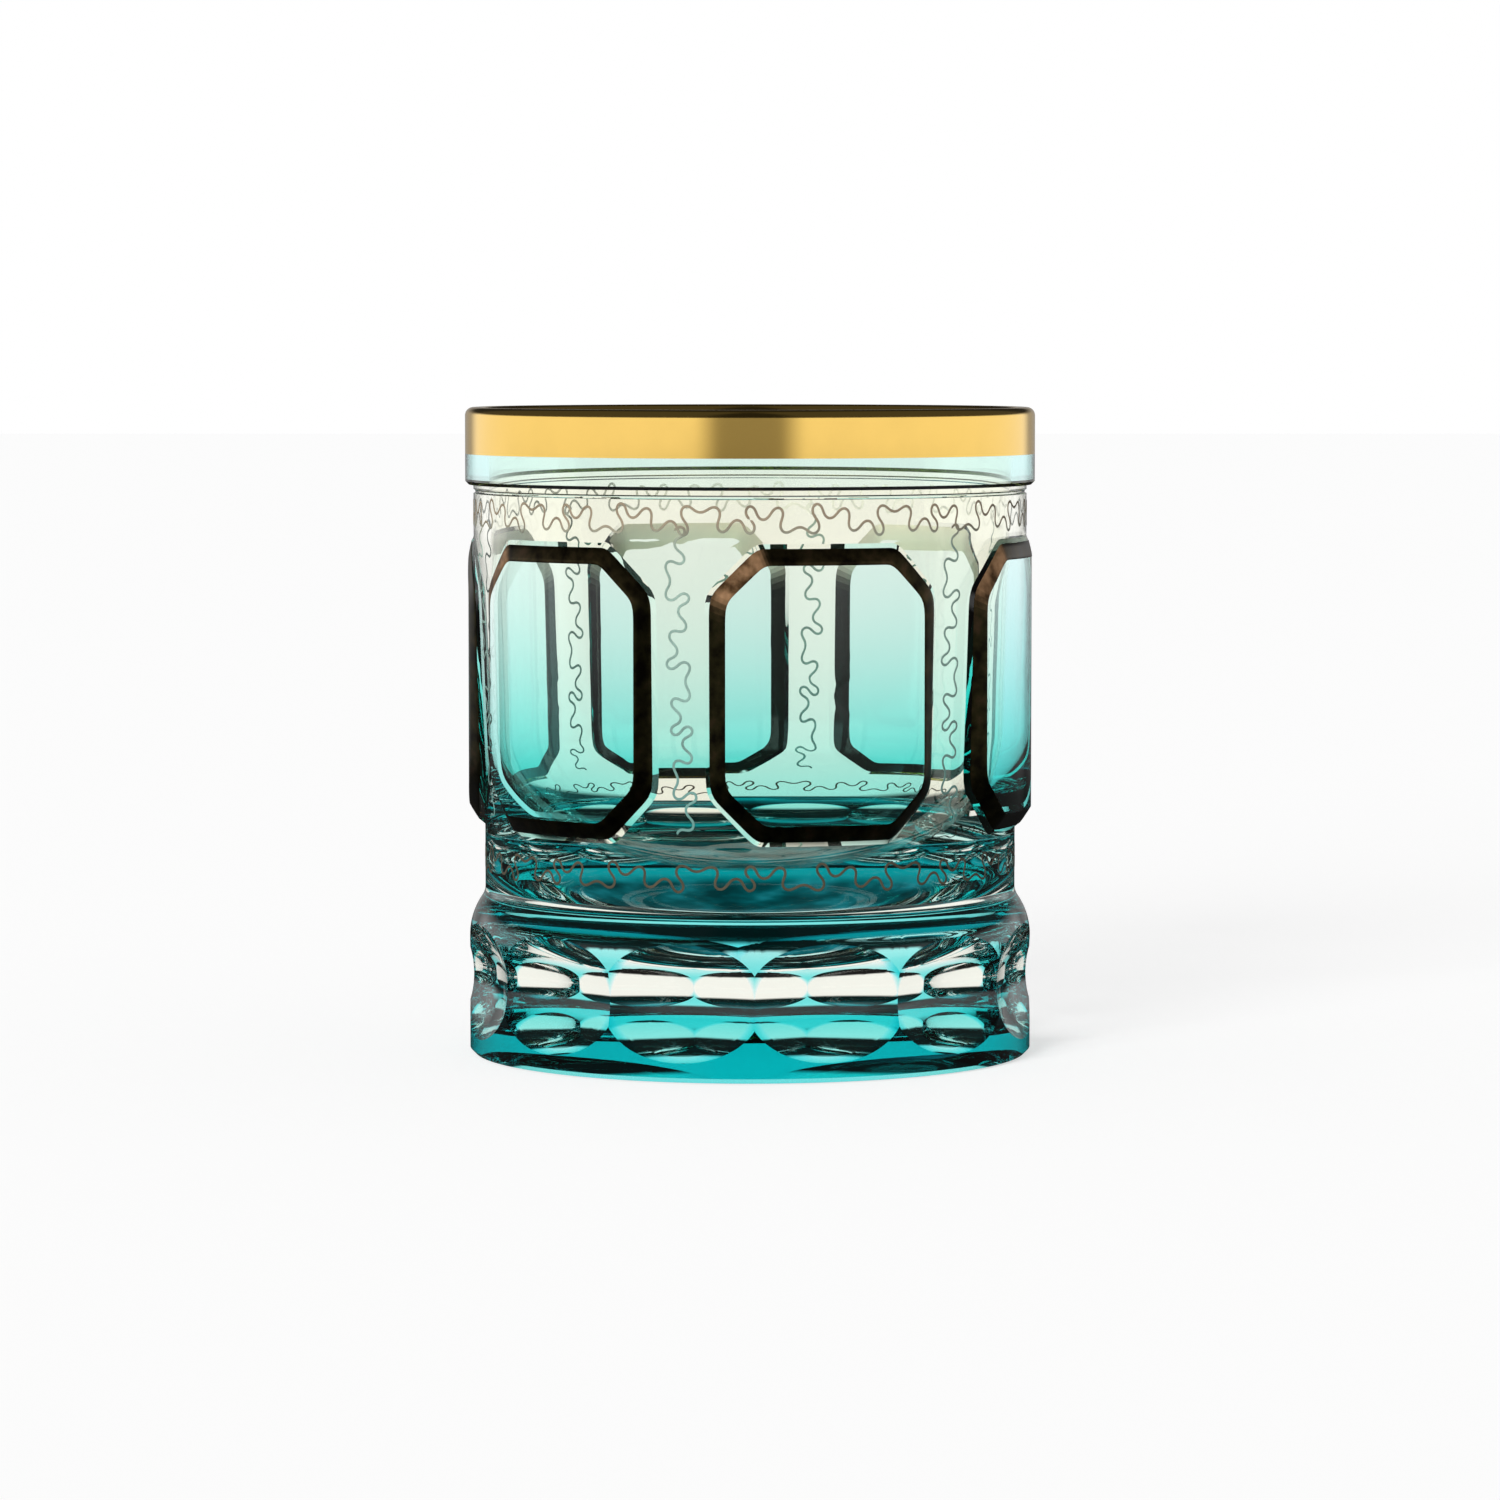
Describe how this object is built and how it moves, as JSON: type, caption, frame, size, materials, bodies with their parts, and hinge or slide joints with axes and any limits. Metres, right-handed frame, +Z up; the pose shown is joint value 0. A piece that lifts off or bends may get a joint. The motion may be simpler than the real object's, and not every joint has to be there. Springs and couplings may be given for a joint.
{
  "type": "whiskey glass",
  "caption": "Straight-sided cut crystal tumbler with a gilded lip, raised turquoise panels in gilded frames and a heavy foot with hollow cuts, for drinking spirits.",
  "frame": {"origin": "centre of the underside of the foot, on the surface the glass stands on", "axes": "+Z up along the axis of the glass; -Y towards the viewer of the picture, +X to that viewer's right"},
  "size_m": [0.0838, 0.0838, 0.095],
  "materials": {
    "clear_crystal": "polished clear crystal",
    "turquoise_casing": "polished turquoise glass",
    "polished_gold": "polished gold",
    "fired_gilding": "dark burnished gold"
  },
  "bodies": {
    "root": {"crystal_core": "clear_crystal", "foot_casing": "turquoise_casing", "rim_ring": "turquoise_casing", "rim_gilding": "polished_gold", "panel_1": "turquoise_casing", "panel_2": "turquoise_casing", "panel_3": "turquoise_casing", "panel_4": "turquoise_casing", "panel_5": "turquoise_casing", "panel_6": "turquoise_casing", "panel_gilding_1": "fired_gilding", "panel_gilding_2": "fired_gilding", "panel_gilding_3": "fired_gilding", "panel_gilding_4": "fired_gilding", "panel_gilding_5": "fired_gilding", "panel_gilding_6": "fired_gilding"}
  },
  "joints": []
}
